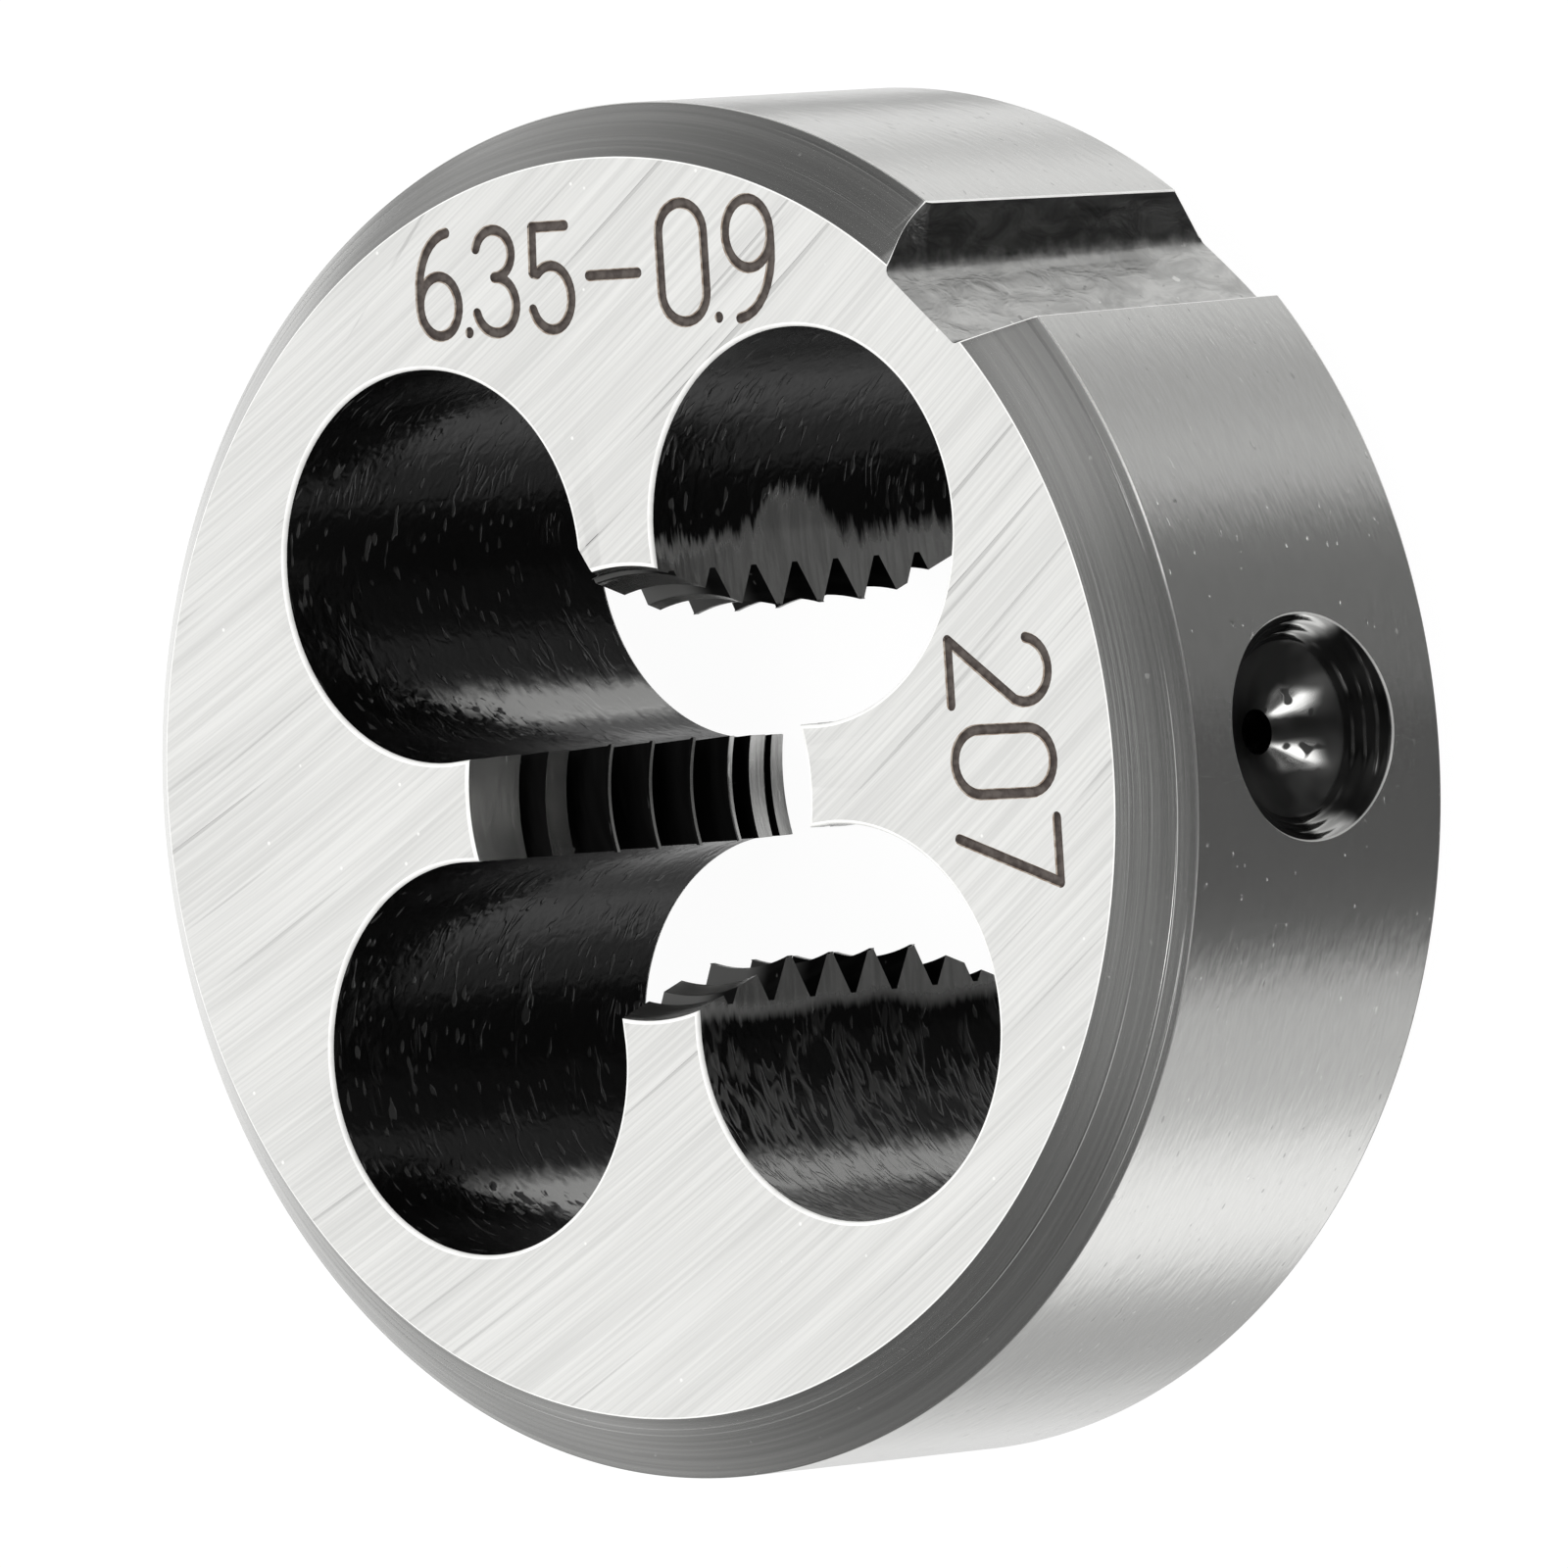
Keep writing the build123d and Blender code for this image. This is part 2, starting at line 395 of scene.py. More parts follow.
slotSteel = {
    "light": 0.92, "dark": 0.78, "pit": 0.6, "speck": 0.99, "roughness": 0.33, "relief": 0.03,
    "wallLight": 0.48, "wallDark": 0.34, "scored": 0.25, "scoredShare": 0.6,
    "waveGrain": (2.2, 2.2, 1.3), "scoredGrain": (3, 0.2, 0.25), "spotScale": 4,
    # The wall's finish starts this far inside the floor's edge and is full this far outside it
    "wallStart": 0.12, "wallFull": 0.14,
}


def makeSlotSteel(name, look=slotSteel):
    # Milled floor, with dark walls from where the corners turn up
    material, place, connect = newFinish(name, 1.0, look["roughness"])
    wave = place.stretched(look["waveGrain"]).noise(detail=3, roughness=0.65, distortion=0.7)
    spots = place.noise(scale=look["spotScale"], detail=2)
    alongSlot = place.turned(-slot["angle"])
    across = alongSlot.part("Y").absolute() + (spots - 0.5) * 0.25 + (wave - 0.5) * 0.2
    wall = across.above(slot["floorWidth"] / 2 - look["wallStart"], slot["floorWidth"] / 2 + look["wallFull"])
    scored = 1 - alongSlot.stretched(look["scoredGrain"]).noise(detail=2).above(0.3, 0.42)
    base = wave.above(0.32, 0.68).mixed(steel(look["dark"]), steel(look["light"]))
    base = (1 - spots.above(0.2, 0.32)).mixed(base, steel(look["pit"]))
    base = spots.above(0.68, 0.76).mixed(base, steel(look["speck"]))
    side = wave.above(0.3, 0.7).mixed(steel(look["wallDark"]), steel(look["wallLight"]))
    side = (scored * look["scoredShare"]).mixed(side, steel(look["scored"]))
    connect(Base_Color=wall.mixed(base, side), Normal=bump(wave + spots * 0.3, look["relief"]))
    return material


drilledSeat = {
    "light": 0.26, "dark": 0.17, "bright": 0.57, "roughness": 0.12, "dull": 0.4, "relief": 0.01,
    "ringShare": 0.6, "glint": 0.99, "glintAside": (1.2, 1.45), "glintHeight": 3.1, "glintFade": (0.25, 0.5),
    # Two painted highlight spots in the drill point, beside its axis and below it, bright and smoother
    "highlightSpotAside": (0.12, 0.28), "highlightSpotAsideEnd": (0.5, 0.66),
    "highlightSpotBelow": (-1.0, -0.7), "highlightSpotBelowEnd": (-0.35, -0.2),
    # Grey of the painted highlight along the rim's edge, and where it starts and is full, from the rim inwards
    "edge": 0.8, "edgeFrom": 0.035, "edgeTo": 0.015,
}


def makeDrilledSeat(name, look=drilledSeat):
    # Smooth dark metal with bright rings where the countersink chattered, painted highlights as two spots in the
    # drill point and glints on the countersink, and a painted highlight along the edge at the rim
    material, place, connect = newFinish(name, 1.0, look["roughness"])
    fromAxis = place.minus((0, 0, seat["height"])).stretched((0, 1, 1)).length()
    lump = place.noise(scale=1.6, detail=1)
    ring = ((fromAxis + (lump - 0.5) * 0.06) / seat["ringSpacing"]).fraction()
    ring = 1 - (ring - 0.5).absolute().above(0.06, 0.2)
    inCountersink = fromAxis.above(seat["drill"] / 2, seat["drill"] / 2 + 0.06)
    worn = place.noise(scale=1.3, detail=2).above(0.42, 0.6)
    ring = ring * worn * inCountersink * look["ringShare"]

    # Painted highlight spots, placed where the drill point should shine
    aside = place.part("Y").absolute() + (lump - 0.5) * 0.2
    below = place.part("Z") - seat["height"] + (worn - 0.5) * 0.1
    paintedHighlightSpot = aside.above(*look["highlightSpotAside"]) * (1 - aside.above(*look["highlightSpotAsideEnd"]))
    paintedHighlightSpot = paintedHighlightSpot * below.above(*look["highlightSpotBelow"]) * (1 - below.above(*look["highlightSpotBelowEnd"]))
    paintedHighlightSpot = paintedHighlightSpot * place.noise(scale=5, detail=0).above(0.32, 0.42)

    # Painted glints on the countersink, on both sides of its axis along Y
    glint = 1 - (place.part("Z") - look["glintHeight"]).absolute().above(*look["glintFade"])
    glint = place.part("Y").absolute().above(*look["glintAside"]) * glint * (ring * 0.5 + 0.6)
    # Painted highlight: a pale, half-matte line along the edge at the rim
    edge = place.flat().length().above(rimRadius - look["edgeFrom"], rimRadius - look["edgeTo"])
    dull = (1 - inCountersink) * (1 - paintedHighlightSpot)

    base = lump.above(0.35, 0.7).mixed(steel(look["dark"]), steel(look["light"]))
    base = ring.math("MAXIMUM", ring, paintedHighlightSpot).mixed(base, steel(look["bright"]))
    base = glint.mixed(base, steel(look["glint"]))
    connect(Base_Color=edge.mixed(base, steel(look["edge"])),
            Metallic=1 - edge * 0.5,
            Roughness=look["roughness"] + edge * 0.3 + dull * (look["dull"] - look["roughness"]),
            Normal=bump(ring * 0.3 + lump, look["relief"]))
    return material


markedStroke = {
    "light": (0.35, 0.32, 0.30), "dark": (0.25, 0.215, 0.20), "roughness": 0.5, "relief": 0.01, "scale": 9,
}


def makeMarkedStroke(name, look=markedStroke):
    material, place, connect = newFinish(name, 0.0, look["roughness"])
    scaly = place.noise(scale=look["scale"], detail=3)
    base = scaly.above(0.35, 0.65).mixed(colour(*look["dark"]), colour(*look["light"]))
    connect(Base_Color=base, Normal=bump(scaly, look["relief"]))
    return material


markedEdge = {
    "light": (0.90, 0.86, 0.81), "dark": (0.72, 0.64, 0.57), "metallic": 0.4, "roughness": 0.5, "scale": 9,
}


def makeMarkedEdge(name, look=markedEdge):
    material, place, connect = newFinish(name, look["metallic"], look["roughness"])
    scaly = place.noise(scale=look["scale"], detail=3)
    connect(Base_Color=scaly.above(0.35, 0.65).mixed(colour(*look["dark"]), colour(*look["light"])))
    return material


def newSolid(name, points, faces, looks):
    # looks names the finish of each face
    mesh = bpy.data.meshes.new(name)
    mesh.from_pydata(points, [], faces)
    for finish in finishes:
        mesh.materials.append(finish)
    for polygon, look in zip(mesh.polygons, looks):
        polygon.material_index = finishNames.index(look)
    solid = bpy.data.objects.new(name, mesh)
    bpy.context.scene.collection.objects.link(solid)
    return solid


def loft(name, rings, look):
    # Closed solid through rings of equally many points; look(row, column) names the finish between two rings
    count = len(rings[0])
    faces = []
    looks = []
    for row in range(len(rings) - 1):
        for column in range(count):
            here = row * count + column
            beside = row * count + (column + 1) % count
            faces.append((here, beside, beside + count, here + count))
            looks.append(look(row, column))
    last = (len(rings) - 1) * count
    faces.append(tuple(reversed(range(count))))
    faces.append(tuple(range(last, last + count)))
    looks += [look(0, 0)] * 2
    return newSolid(name, [point for ring in rings for point in ring], faces, looks)


def lathe(name, profile, looks, segments, place=Matrix.Identity(4)):
    # Solid turned about its own Z axis; the profile of (radius, height) starts and ends on the axis.
    # looks names the finish from each point of the profile to the next.
    inner = profile[1:-1]
    points = [place @ Vector((0, 0, profile[0][1]))]
    for radius, height in inner:
        for step in range(segments):
            angle = 2 * pi * step / segments
            points.append(place @ Vector((radius * cos(angle), radius * sin(angle), height)))
    points.append(place @ Vector((0, 0, profile[-1][1])))
    faces = []
    faceLooks = []
    top = len(points) - 1
    lastRing = 1 + (len(inner) - 1) * segments
    for step in range(segments):
        after = (step + 1) % segments
        faces.append((0, 1 + after, 1 + step))
        faceLooks.append(looks[0])
        for row in range(len(inner) - 1):
            start = 1 + row * segments
            faces.append((start + step, start + after, start + segments + after, start + segments + step))
            faceLooks.append(looks[row + 1])
        faces.append((top, lastRing + step, lastRing + after))
        faceLooks.append(looks[-1])
    return newSolid(name, points, faces, faceLooks)


def rounded(corners, steps=4):
    # Open outline with round corners. A corner is (x, y, radius, look of its round, look of the stretch after it).
    points = []
    looks = []
    for number, (x, y, radius, roundLook, look) in enumerate(corners):
        corner = Vector((x, y))
        if radius:
            back = (Vector(corners[number - 1][:2]) - corner).normalized()
            ahead = (Vector(corners[number + 1][:2]) - corner).normalized()
            half = back.angle(ahead) / 2
            centre = corner + (back + ahead).normalized() * radius / sin(half)
            first = corner + back * radius / tan(half) - centre
            last = corner + ahead * radius / tan(half) - centre
            for step in range(steps + 1):
                points.append(tuple(centre + first.slerp(last, step / steps).normalized() * radius))
                looks.append(roundLook)
            looks[-1] = look
        else:
            points.append((x, y))
            looks.append(look)
    return points, looks[:-1]


def cut(solid, cutter):
    # Takes the cutter away from the solid. The new faces keep the cutter's finishes.
    modifier = solid.modifiers.new("cut", "BOOLEAN")
    modifier.operation = "DIFFERENCE"
    modifier.solver = "MANIFOLD"
    modifier.object = cutter
    graph = bpy.context.evaluated_depsgraph_get()
    made = bpy.data.meshes.new_from_object(solid.evaluated_get(graph))
    solid.modifiers.clear()
    old = solid.data
    solid.data = made
    bpy.data.meshes.remove(old)
    bpy.data.meshes.remove(cutter.data)


body = {
    "chamferWidth": 0.85, "frontChamfer": 0.75, "backChamfer": 0.84,
    "faceEdge": 0.03, "rimEdge": 0.05, "segments": 360,
    # The front chamfer was turned a little off centre
    "offCentre": Vector((-0.07, 0.08, 0.0)),
}


def frontShare(height, part=body):
    # 0 at the lower edge of the front chamfer and 1 at the front face
    return (height - thickness + part["frontChamfer"]) / part["frontChamfer"]


def offCentre(height, part=body):
    # How far the middle of the front chamfer's ring at this height is from the axis
    return part["offCentre"] * min(max(frontShare(height), 0), 1)


def bodyRadius(height, turn, part=body):
    # From the axis to the body's surface, in the direction of turn
    back = (part["backChamfer"] - height) / part["backChamfer"]
    radius = rimRadius - part["chamferWidth"] * min(max(frontShare(height), back, 0), 1)
    return radius + offCentre(height).dot(Vector((cos(turn), sin(turn), 0)))


def makeBody(part=body):
    faceRadius = rimRadius - part["chamferWidth"]
    corners = [
        (0, 0, 0, None, "groundFace"),
        (faceRadius, 0, part["faceEdge"], "brightEdge", "turnedChamfer"),
        (rimRadius, part["backChamfer"], part["rimEdge"], "turnedEdge", "groundRim"),
        (rimRadius, thickness - part["frontChamfer"], part["rimEdge"], "turnedEdge", "turnedChamfer"),
        (faceRadius, thickness, part["faceEdge"], "brightEdge", "groundFace"),
        (0, thickness, 0, None, "groundFace"),
    ]
    profile, looks = rounded(corners)
    made = lathe("threadingDie", profile, looks, part["segments"])
    for vertex in made.data.vertices:
        vertex.co += offCentre(vertex.co.z)
    return made


thread = {
    "diameter": 6.35, "rootClearance": 0.15, "turnsPerInch": 28, "angle": radians(60), "flatShare": 1 / 8,
    "heightOnFirstLand": 0.11, "throatAngle": radians(18), "throatWear": 0.07, "throatEdge": 0.035,
    # The screw that cuts the grooves has these turns, some of them below the die, around a thinner core
    "turns": 11, "turnsBelow": 2, "segments": 144, "coreClearance": 0.1,
}
thread["pitch"] = 25.4 / thread["turnsPerInch"]
thread["rootRadius"] = (thread["diameter"] + thread["rootClearance"]) / 2
thread["slope"] = tan(thread["angle"] / 2)
thread["height"] = thread["pitch"] / 2 / thread["slope"] * (1 - 2 * thread["flatShare"])
thread["crestRadius"] = thread["rootRadius"] - thread["height"]


def makeBore(part=thread):
    # Bore at the crests, a throat cone at each face and a small break at each mouth
    mouth = part["rootRadius"] + part["throatWear"]
    depth = (mouth - part["crestRadius"]) / tan(part["throatAngle"])
    wide = mouth + part["throatEdge"] + runOut * 2
    narrow = mouth - part["throatEdge"] / 2
    edgeDepth = part["throatEdge"] * 0.75
    profile = [
        (0, -runOut),
        (wide, -runOut),
        (narrow, edgeDepth),
        (part["crestRadius"], depth),
        (part["crestRadius"], thickness - depth),
        (narrow, thickness - edgeDepth),
        (wide, thickness + runOut),
        (0, thickness + runOut),
    ]
    looks = ["groundLand", "brightEdge", "groundLand", "groundLand", "groundLand", "brightEdge", "groundLand"]
    return lathe("bore", profile, looks, part["segments"])


def makeThread(part=thread):
    # A long right-hand screw whose ridges cut the grooves
    pitch = part["pitch"]
    core = part["crestRadius"] - part["coreClearance"]
    rootHalf = pitch * part["flatShare"] / 2
    coreHalf = rootHalf + (part["rootRadius"] - core) * part["slope"]
    corners = [
        (core, -coreHalf, "threadFlank"),
        (part["rootRadius"], -rootHalf, "groundLand"),
        (part["rootRadius"], rootHalf, "threadFlank"),
        (core, coreHalf, "threadFlank"),
    ]
    perTurn = part["segments"]
    last = part["turns"] * perTurn
    start = part["heightOnFirstLand"] - part["turnsBelow"] * pitch
    points = []
    for step in range(last + 1):
        angle = 2 * pi * step / perTurn
        for radius, height, _ in corners:
            points.append((radius * cos(angle), radius * sin(angle), start + height + pitch * step / perTurn))
    faces = []
    looks = []
    for step in range(last):
        for place in range(3):
            here = step * 4 + place
            faces.append((here, here + 4, here + 5, here + 1))
            looks.append(corners[place][2])
        if step < last - perTurn:
            here = step * 4 + 3
            above = (step + perTurn) * 4
            faces.append((here, here + 4, above + 4, above))
            looks.append("threadFlank")
    # A fan of triangles closes each end
    lowLoop = [step * 4 for step in range(perTurn)] + [perTurn * 4, 3, 2, 1]
    highLoop = [step * 4 + 3 for step in range(last - perTurn, last + 1)] + [last * 4 + 2, last * 4 + 1, last * 4]
    for loop, height, turned in ((lowLoop, start - pitch, True), (highLoop, points[-1][2] + pitch, False)):
        points.append((0, 0, height))
        for here, after in zip(loop, loop[1:] + loop[:1]):
            faces.append((len(points) - 1, after, here) if turned else (len(points) - 1, here, after))
            looks.append("threadFlank")
    return newSolid("screw", points, faces, looks)


flute = {
    "count": 4, "diameter": 5.74, "circle": 10.18, "tipWidth": 1.54, "lip": 0.06, "arcSteps": 120, "lipSteps": 4,
}


def fluteOutline(part=flute):
    # One flute and the straight faces ground on the lands beside it, in the first quarter
    radius = part["diameter"] / 2
    middle = part["circle"] / 2 * cos(pi / 4)
    tipAlong = thread["crestRadius"] - thread["coreClearance"]
    tipHalf = part["tipWidth"] / 2
    points = []
    for step in range(part["arcSteps"] + 1):
        angle = -pi / 2 + 3 * pi / 2 * step / part["arcSteps"]
        points.append(Vector((middle + radius * cos(angle), middle + radius * sin(angle))))
    points.append(Vector((tipHalf, tipAlong)))
    points.append(Vector((tipAlong, tipHalf)))
    return points


def widened(outline, distance):
    # The outline moved outwards by this distance
    made = []
    for number, point in enumerate(outline):
        along = outline[(number + 1) % len(outline)] - outline[number - 1]
        outward = Vector((along.y, -along.x)).normalized()
        made.append(point + outward * distance)
    return made


def makeFlute(number, part=flute):
    # Through hole with a round lip at both faces. A level is a height and how much wider the hole is there.
    lip = part["lip"]
    levels = [(-runOut, lip)]
    for step in range(part["lipSteps"] + 1):
        turn = pi / 2 * step / part["lipSteps"]
        levels.append((lip * (1 - cos(turn)), lip * (1 - sin(turn))))
    levels += [(thickness - height, offset) for height, offset in reversed(levels)]
    place = Matrix.Rotation(2 * pi / part["count"] * number, 4, "Z")
    outline = fluteOutline(part)
    rings = []
    for height, offset in levels:
        rings.append([place @ Vector((point.x, point.y, height)) for point in widened(outline, offset)])
    wall = len(levels) // 2 - 1

    def look(row, column):
        if row != wall:
            return "brightEdge"
        return "blackFlute" if column < part["arcSteps"] else "groundLand"

    return loft("flute", rings, look)


slot = {
    "angle": radians(46), "floorWidth": 1.6, "depth": 0.98, "rise": 0.22, "slope": tan(radians(30)),
    "nearCorner": 0.18, "farCorner": 0.4, "lip": 0.04, "steps": 16,
    # The far wall is worn back by this much, over this length from the front face
    "wear": 0.10, "wearLength": 0.86, "wearPower": 1.4,
    # Half of the slot's mouth as an angle at the axis
    "mouthAngle": radians(6.5),
    # The wall's least height where the back chamfer cuts into the floor, and a corner's greatest share of it
    "leastWall": 0.03, "cornerShare": 0.6, "halfCorner": tan(radians(60)),
    # Shelf outside the mouth, by which the cutter clears the rim: its width, its rise and how far out it ends
    "shelf": 0.8, "shelfRise": 0.04, "reach": 1.5,
}


def slotSection(height, side, cornerRadius, worn, part=slot):
    # One half of the slot's section, with a soft lip where its wall reaches the surface
    floor = rimRadius - part["depth"] + part["rise"] * (1 - height / thickness)
    half = part["floorWidth"] / 2
    slope = part["slope"]
    radius = bodyRadius(height, part["angle"] + side * part["mouthAngle"])
    # The wall reaches the surface at floor + rise outwards and half + rise * slope across the slot
    middle = floor + half * slope
    spread = 1 + slope * slope
    rise = (sqrt(middle * middle + spread * (radius ** 2 - floor ** 2 - half * half)) - middle) / spread
    rise = max(rise, part["leastWall"])
    mouth = Vector((floor + rise, half + rise * slope))
    aside = Vector((-mouth.y, mouth.x)).normalized()
    beside = mouth + aside * part["shelf"] + mouth.normalized() * part["shelfRise"]
    reach = rimRadius + part["reach"]
    corner = min(cornerRadius, rise * part["cornerShare"] * part["halfCorner"])
    corners = [
        (floor, 0, 0, None, "slotSteel"),
        (floor, half, corner, "slotSteel", "slotSteel"),
        (mouth.x, mouth.y + worn, part["lip"], "brightEdge", "brightEdge"),
        (beside.x, beside.y + worn, 0, None, "brightEdge"),
        (reach, beside.y + worn, 0, None, "brightEdge"),
        (reach, 0, 0, None, "brightEdge"),
    ]
    return rounded(corners)


def makeSlot(part=slot):
    # One section at each level, close together where the far wall is worn
    start = thickness - part["wearLength"]
    levels = [-runOut, 0]
    levels += [body["backChamfer"] * share for share in (0.25, 0.5, 0.75, 1)]
    levels += [start + (thickness - start) * step / part["steps"] for step in range(part["steps"] + 1)]
    levels.append(thickness + runOut)
    place = Matrix.Rotation(part["angle"], 4, "Z")
    rings = []
    for height in levels:
        share = min(max((height - start) / part["wearLength"], 0), 1)
        worn = part["wear"] * sin(pi * share) ** part["wearPower"]
        far, looks = slotSection(height, 1, part["farCorner"], worn)
        near = slotSection(height, -1, part["nearCorner"], 0)[0]
        outline = far + [(x, -y) for x, y in reversed(near)][1:-1]
        rings.append([place @ Vector((x, y, height)) for x, y in reversed(outline)])
    around = looks + looks[::-1]
    count = len(around)

    def look(row, column):
        # The rings run backwards, so that the faces look outwards
        return around[(count - 2 - column) % count]

    return loft("slot", rings, look)


seat = {
    "height": 3.6, "diameter": 3.58, "drill": 2.5, "pointSlope": tan(radians(60)), "pilot": 0.66, "pilotDepth": 0.5,
    "ringDepth": 0.005, "ringSpacing": 0.13, "segments": 96, "steps": 60, "runOut": 0.6,
}


def makeSeat(part=seat):
    # Pilot hole, drill point and a countersink of 90 degrees with the rings that the tool left
    wide = part["diameter"] / 2
    drill = part["drill"] / 2
    pilot = part["pilot"] / 2
    drillEnd = rimRadius - (wide - drill)
    pilotStart = drillEnd - (drill - pilot) / part["pointSlope"]
    profile = [(0, pilotStart - part["pilotDepth"]), (pilot, pilotStart - part["pilotDepth"]), (pilot, pilotStart)]
    for step in range(part["steps"] + 1):
        along = (wide + part["runOut"] - drill) * step / part["steps"]
        ring = part["ringDepth"] * sin(2 * pi * along / part["ringSpacing"]) if step else 0
        profile.append((drill + along + ring, drillEnd + along))
    profile.append((0, rimRadius + part["runOut"]))
    place = Matrix.Translation((0, 0, part["height"])) @ Matrix.Rotation(pi / 2, 4, "Y")
    return lathe("seat", profile, ["drilledSeat"] * (len(profile) - 1), part["segments"], place)


nick = {
    "top": [(-0.76, 3.74), (-0.42, 3.16), (-0.95, 3.05), (-1.15, 3.74)],
    "bottom": [(-1.0, 3.7), (-0.8, 3.3), (-1.1, 3.2), (-1.3, 3.7)],
    "depth": 0.75, "runOut": 0.02,
}


def makeNick(part=nick):
    # Small chip out of the left front corner of the land towards +Y
    low = [(x, y, thickness - part["depth"]) for x, y in part["bottom"]]
    high = [(x, y, thickness + part["runOut"]) for x, y in part["top"]]
    return loft("nick", [low[::-1], high[::-1]], lambda row, column: "threadFlank")


bendStep = 11  # About this many degrees from point to point on a bend


def bend(x, y, across, up, start, end):
    # Points on a stretch of an ellipse, from start to end in degrees
    points = []
    steps = round(abs(end - start) / bendStep)
    for step in range(steps + 1):
        angle = radians(start + (end - start) * step / steps)
        points.append((x + across * cos(angle), y + up * sin(angle)))
    return points


# Strokes of each sign in a cell half as wide as it is high
signs = {
    "0": [bend(0.25, 0.75, 0.25, 0.25, 0, 180) + bend(0.25, 0.25, 0.25, 0.25, 180, 360) + [(0.5, 0.75)]],
    "2": [bend(0.25, 0.75, 0.25, 0.25, 170, -25) + [(0.0, 0.0), (0.5, 0.0)]],
    "3": [bend(0.24, 0.77, 0.23, 0.23, 165, -90), bend(0.24, 0.27, 0.26, 0.27, 90, -165)],
    "5": [[(0.46, 1.0), (0.04, 1.0), (0.02, 0.56)] + bend(0.24, 0.31, 0.26, 0.31, 130, -160)],
    "6": [bend(0.25, 0.29, 0.25, 0.29, 0, 360), [(0.0, 0.29)] + bend(0.42, 0.42, 0.42, 0.58, 180, 95)],
    "7": [[(0.0, 1.0), (0.5, 1.0), (0.14, 0.0)]],
    "9": [bend(0.25, 0.71, 0.25, 0.29, 180, 540), [(0.5, 0.71)] + bend(0.08, 0.58, 0.42, 0.58, 0, -85)],
    "-": [[(0.0, 0.5), (0.62, 0.5)]],
    ".": [[(0.0, 0.02), (0.0, 0.021)]],
}
marking = {
    "stroke": 0.09, "raised": 0.035, "edge": radians(46), "tilt": radians(-2.5), "sides": 18,
    "roundEnd": [radians(20), radians(40), radians(60), radians(80)], "corner": radians(35), "closed": 0.01,
    "words": [
        # Where the word starts on the face, and each sign with its height and its place along the word
        {"origin": (-3.33, 6.93), "turn": 0.0, "signs": [
            ("6", 1.50, 0.0), (".", 1.50, 0.93), ("3", 1.50, 1.12), ("5", 1.50, 2.2), ("-", 1.50, 3.32),
            ("0", 1.72, 4.70), (".", 1.72, 5.77), ("9", 1.72, 5.98)]},
        {"origin": (6.18, 1.72), "turn": -pi / 2, "signs": [
            ("2", 1.86, 0.0), ("0", 1.86, 1.30), ("7", 1.86, 2.60)]},
    ],
}


def makeStroke(path, part=marking):
    # Round rod with round ends along a flat path, with its middle a little above the face
    radius = part["stroke"]
    path = [Vector((x, y, thickness + part["raised"])) for x, y in path]
    ends = part["roundEnd"]
    directions = []
    for number in range(len(path)):
        directions.append((path[min(number + 1, len(path) - 1)] - path[max(number - 1, 0)]).normalized())
    stations = [(path[0] - directions[0] * radius * sin(turn), directions[0], cos(turn)) for turn in reversed(ends)]
    stations += [(point, direction, 1.0) for point, direction in zip(path, directions)]
    stations += [(path[-1] + directions[-1] * radius * sin(turn), directions[-1], cos(turn)) for turn in ends]
    rings = []
    for centre, direction, share in stations:
        side = Vector((-direction.y, direction.x, 0))
        ring = []
        for step in range(part["sides"]):
            angle = 2 * pi * (step + 0.5) / part["sides"] - pi / 2
            ring.append(centre + (side * cos(angle) + Vector((0, 0, sin(angle)))) * radius * share)
        rings.append(ring)

    def look(row, column):
        fromBottom = abs((2 * pi * (column + 1) / part["sides"] + pi) % (2 * pi) - pi)
        return "markedEdge" if fromBottom > part["edge"] else "markedStroke"

    return loft("stroke", rings, look)


def splitAtCorners(path, part=marking):
    # A rod can't turn sharply, so a stroke is cut in pieces from corner to corner
    pieces = [[path[0]]]
    for number in range(1, len(path)):
        pieces[-1].append(path[number])
        if 0 < number < len(path) - 1:
            before = Vector(path[number]) - Vector(path[number - 1])
            after = Vector(path[number + 1]) - Vector(path[number])
            if before.angle(after) > part["corner"]:
                pieces.append([path[number]])
    return pieces


def makeMarking(solid, part=marking):
    for word in part["words"]:
        turn = word["turn"] + part["tilt"]
        for sign, height, along in word["signs"]:
            for stroke in signs[sign]:
                path = []
                for x, y in stroke:
                    u = along + x * height
                    v = y * height
                    path.append((word["origin"][0] + u * cos(turn) - v * sin(turn),
                                 word["origin"][1] + u * sin(turn) + v * cos(turn)))
                # It can't run into its own start either, so a closed stroke is cut as two halves
                middle = len(path) // 2
                closed = (Vector(path[0]) - Vector(path[-1])).length < part["closed"]
                for half in ([path[:middle + 1], path[middle:]] if closed else [path]):
                    for piece in splitAtCorners(half):
                        cut(solid, makeStroke(piece))


# Points this near are joined, and edges over this angle stay sharp
shading = {"weld": 1e-5, "sharp": radians(32), "weight": 100}


def finishMesh(solid, part=shading):
    # Marks the sharp edges, also round the marking in the flat face, and scales the die to metres
    mesh = solid.data
    marked = {finishNames.index("markedStroke"), finishNames.index("markedEdge")}
    shaped = bmesh.new()
    shaped.from_mesh(mesh)
    bmesh.ops.remove_doubles(shaped, verts=shaped.verts, dist=part["weld"])
    bmesh.ops.scale(shaped, vec=(millimetre,) * 3, verts=shaped.verts)
    for side in shaped.faces:
        side.smooth = True
    for edge in shaped.edges:
        aroundMarking = len({side.material_index in marked for side in edge.link_faces}) > 1
        edge.smooth = edge.calc_face_angle(0) < part["sharp"] and not aroundMarking
    shaped.to_mesh(mesh)
    shaped.free()
    weighted = solid.modifiers.new("flatFaces", "WEIGHTED_NORMAL")
    weighted.mode = "FACE_AREA_WITH_ANGLE"
    weighted.weight = part["weight"]
    weighted.keep_sharp = True


